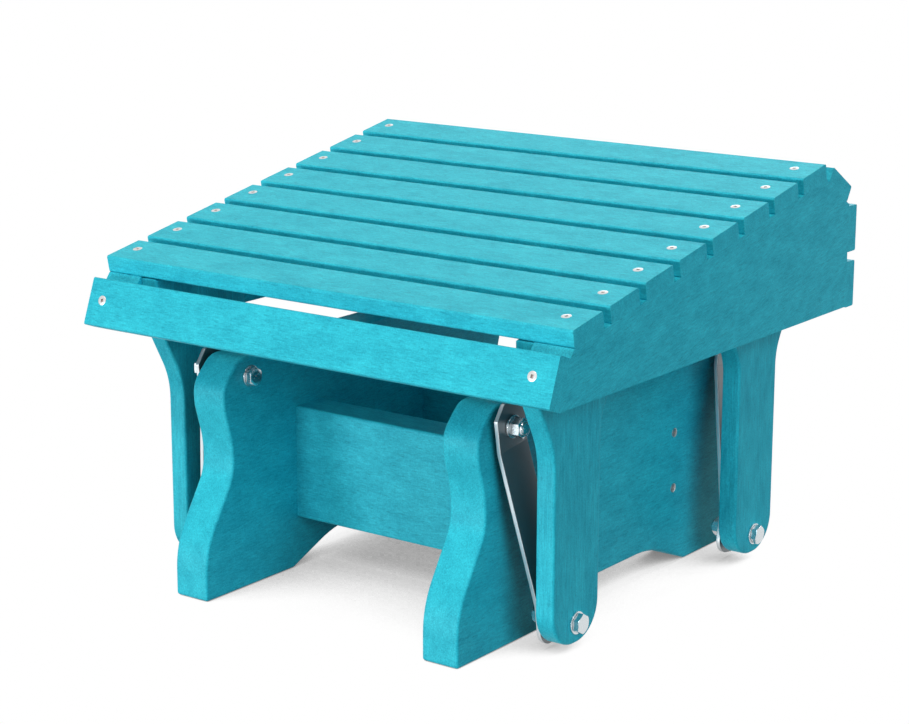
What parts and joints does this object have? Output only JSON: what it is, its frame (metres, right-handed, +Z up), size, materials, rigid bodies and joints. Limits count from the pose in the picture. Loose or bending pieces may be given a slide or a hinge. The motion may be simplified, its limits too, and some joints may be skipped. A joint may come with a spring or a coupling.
{
  "type": "glider ottoman",
  "caption": "Slatted plastic-lumber footrest hung on bent steel straps from a low curved base, so it swings forwards and backwards.",
  "frame": {"origin": "middle of the bounding box, on the floor", "axes": "+X along the slats to the right-hand end seen from the low front edge, +Y to the high back, +Z up"},
  "size_m": [0.52, 0.5276, 0.3869],
  "materials": {
    "poly_lumber": "satin, brushed wood-grain texture",
    "strap_steel": "zinc plated, satin",
    "zinc_plated_steel": "zinc plated, bright",
    "stainless_steel": "satin",
    "nylon": "black nylon"
  },
  "bodies": {
    "base": {"base_side_left": "poly_lumber", "base_side_right": "poly_lumber", "stretcher_front": "poly_lumber", "stretcher_rear": "poly_lumber", "stretcher_screws": "stainless_steel", "pivot_bolts_upper": "zinc_plated_steel", "pivot_washers_upper": "zinc_plated_steel", "pivot_bushes_upper": "nylon", "lock_nuts_upper": "zinc_plated_steel"},
    "swing_strap_front_left": {"swing_strap_front_left": "strap_steel"},
    "swing_strap_front_right": {"swing_strap_front_right": "strap_steel"},
    "swing_strap_rear_left": {"swing_strap_rear_left": "strap_steel"},
    "swing_strap_rear_right": {"swing_strap_rear_right": "strap_steel"},
    "seat": {"seat_rail_left": "poly_lumber", "seat_rail_right": "poly_lumber", "hanger_front_left": "poly_lumber", "hanger_front_right": "poly_lumber", "hanger_rear_left": "poly_lumber", "hanger_rear_right": "poly_lumber", "apron_slat": "poly_lumber", "top_slat_1": "poly_lumber", "top_slat_2": "poly_lumber", "top_slat_3": "poly_lumber", "top_slat_4": "poly_lumber", "top_slat_5": "poly_lumber", "top_slat_6": "poly_lumber", "top_slat_7": "poly_lumber", "top_slat_8": "poly_lumber", "bevel_slat": "poly_lumber", "back_slat_upper": "poly_lumber", "back_slat_lower": "poly_lumber", "slat_screws": "stainless_steel", "hanger_screws": "stainless_steel", "pivot_bolts_lower": "zinc_plated_steel", "pivot_washers_lower": "zinc_plated_steel", "pivot_bushes_lower": "nylon", "lock_nuts_lower": "zinc_plated_steel"}
  },
  "joints": [
    {"name": "swing", "type": "hinge", "parent": "base", "child": "swing_strap_front_left", "pos_m": [-0.1695, -0.18869, 0.2025], "axis": [1, 0, 0], "range_deg": [-10, 10]},
    {"name": "swing_front_right", "type": "hinge", "parent": "base", "child": "swing_strap_front_right", "pos_m": [0.1695, -0.18869, 0.2025], "axis": [1, 0, 0], "range_deg": [-10, 10]},
    {"name": "swing_rear_left", "type": "hinge", "parent": "base", "child": "swing_strap_rear_left", "pos_m": [-0.1695, 0.18011, 0.2025], "axis": [1, 0, 0], "range_deg": [-10, 10]},
    {"name": "swing_rear_right", "type": "hinge", "parent": "base", "child": "swing_strap_rear_right", "pos_m": [0.1695, 0.18011, 0.2025], "axis": [1, 0, 0], "range_deg": [-10, 10]},
    {"name": "seat_tilt", "type": "hinge", "parent": "swing_strap_front_left", "child": "seat", "pos_m": [-0.1935, -0.15949, 0.028], "axis": [1, 0, 0], "range_deg": [-11.9, 11.9]}
  ],
  "couplings": [
    {"joint": "swing_front_right", "follows": "swing", "ratio": 1},
    {"joint": "swing_rear_left", "follows": "swing", "ratio": 1},
    {"joint": "swing_rear_right", "follows": "swing", "ratio": 1},
    {"joint": "seat_tilt", "follows": "swing", "ratio": -1.1881}
  ]
}
